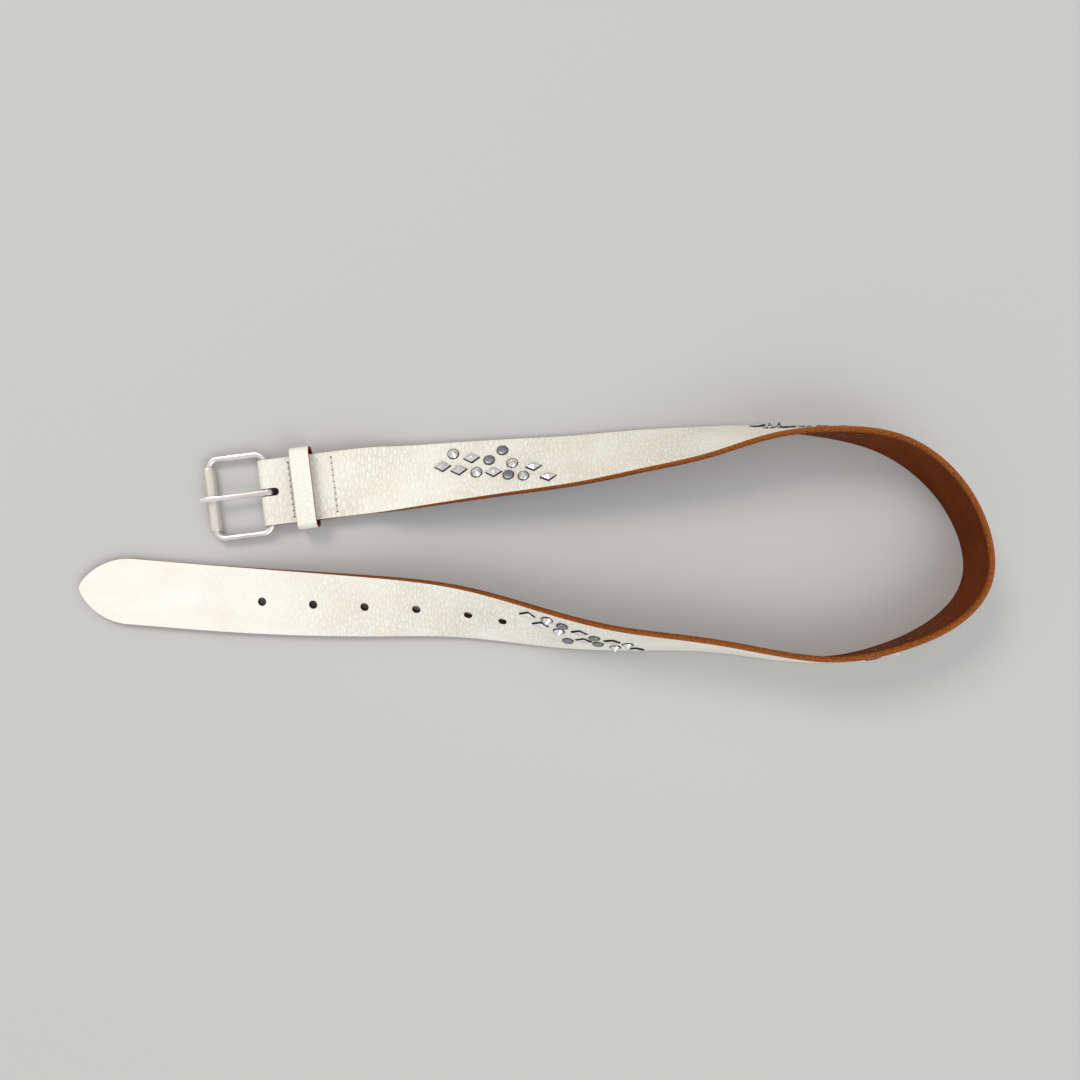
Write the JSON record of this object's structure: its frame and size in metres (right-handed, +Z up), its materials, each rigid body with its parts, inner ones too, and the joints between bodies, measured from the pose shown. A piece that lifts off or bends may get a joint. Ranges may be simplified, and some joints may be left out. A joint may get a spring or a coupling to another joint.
{
  "type": "studded leather belt",
  "caption": "Studded leather waist belt with a roller buckle, keeper loop and punched tip, unfastened and laid down in one long open loop.",
  "frame": {"origin": "on the ground, under the middle of the belt's box", "axes": "+X from the buckle and the tip towards the closed end of the loop, +Y across from the tip's strand to the buckle's strand, +Z up off the ground"},
  "size_m": [0.5159, 0.1393, 0.0382],
  "materials": {
    "strap_leather": "off-white painted grain with fine crinkle, tan cut edges, brown flesh side",
    "keeper_leather": "smooth white painted leather with tan cut edges",
    "thread": "pale waxed sewing thread",
    "staple_wire": "galvanised wire",
    "buckle_metal": "satin antique nickel",
    "roller_metal": "satin antique nickel, brushed",
    "bright_stud_metal": "bright nickel plate",
    "disc_metal": "gunmetal plate"
  },
  "bodies": {
    "strap": {"strap": "strap_leather", "needle_thread_row_1": "thread", "bobbin_thread_row_1": "thread", "needle_thread_row_2": "thread", "bobbin_thread_row_2": "thread", "diamond_studs_1": "bright_stud_metal", "cone_studs_1": "bright_stud_metal", "disc_studs_1": "disc_metal", "diamond_studs_2": "bright_stud_metal", "cone_studs_2": "bright_stud_metal", "disc_studs_2": "disc_metal", "diamond_studs_3": "bright_stud_metal", "cone_studs_3": "bright_stud_metal", "disc_studs_3": "disc_metal", "diamond_studs_4": "bright_stud_metal", "cone_studs_4": "bright_stud_metal", "disc_studs_4": "disc_metal"},
    "keeper": {"keeper": "keeper_leather", "keeper_staple": "staple_wire"},
    "buckle_frame": {"buckle_frame": "buckle_metal"},
    "roller": {"roller": "roller_metal"},
    "tongue": {"tongue": "buckle_metal"}
  },
  "joints": [
    {"name": "buckle_pivot", "type": "hinge", "parent": "strap", "child": "buckle_frame", "pos_m": [-0.14783, 0.02922, 0.0043], "axis": [-0.1219, 0.9925, 0], "range_deg": [-76, 30]},
    {"name": "tongue_pivot", "type": "hinge", "parent": "buckle_frame", "child": "tongue", "pos_m": [-0.14783, 0.02922, 0.0043], "axis": [-0.1219, 0.9925, 0], "range_deg": [0, 80]},
    {"name": "roller_spin", "type": "hinge", "parent": "buckle_frame", "child": "roller", "pos_m": [-0.18038, 0.02523, 0.0035], "axis": [-0.1219, 0.9925, 0], "continuous": true},
    {"name": "keeper_slide", "type": "slide", "parent": "strap", "child": "keeper", "axis": [0.9925, 0.1219, 0], "range_m": [0, 0.0085]}
  ]
}
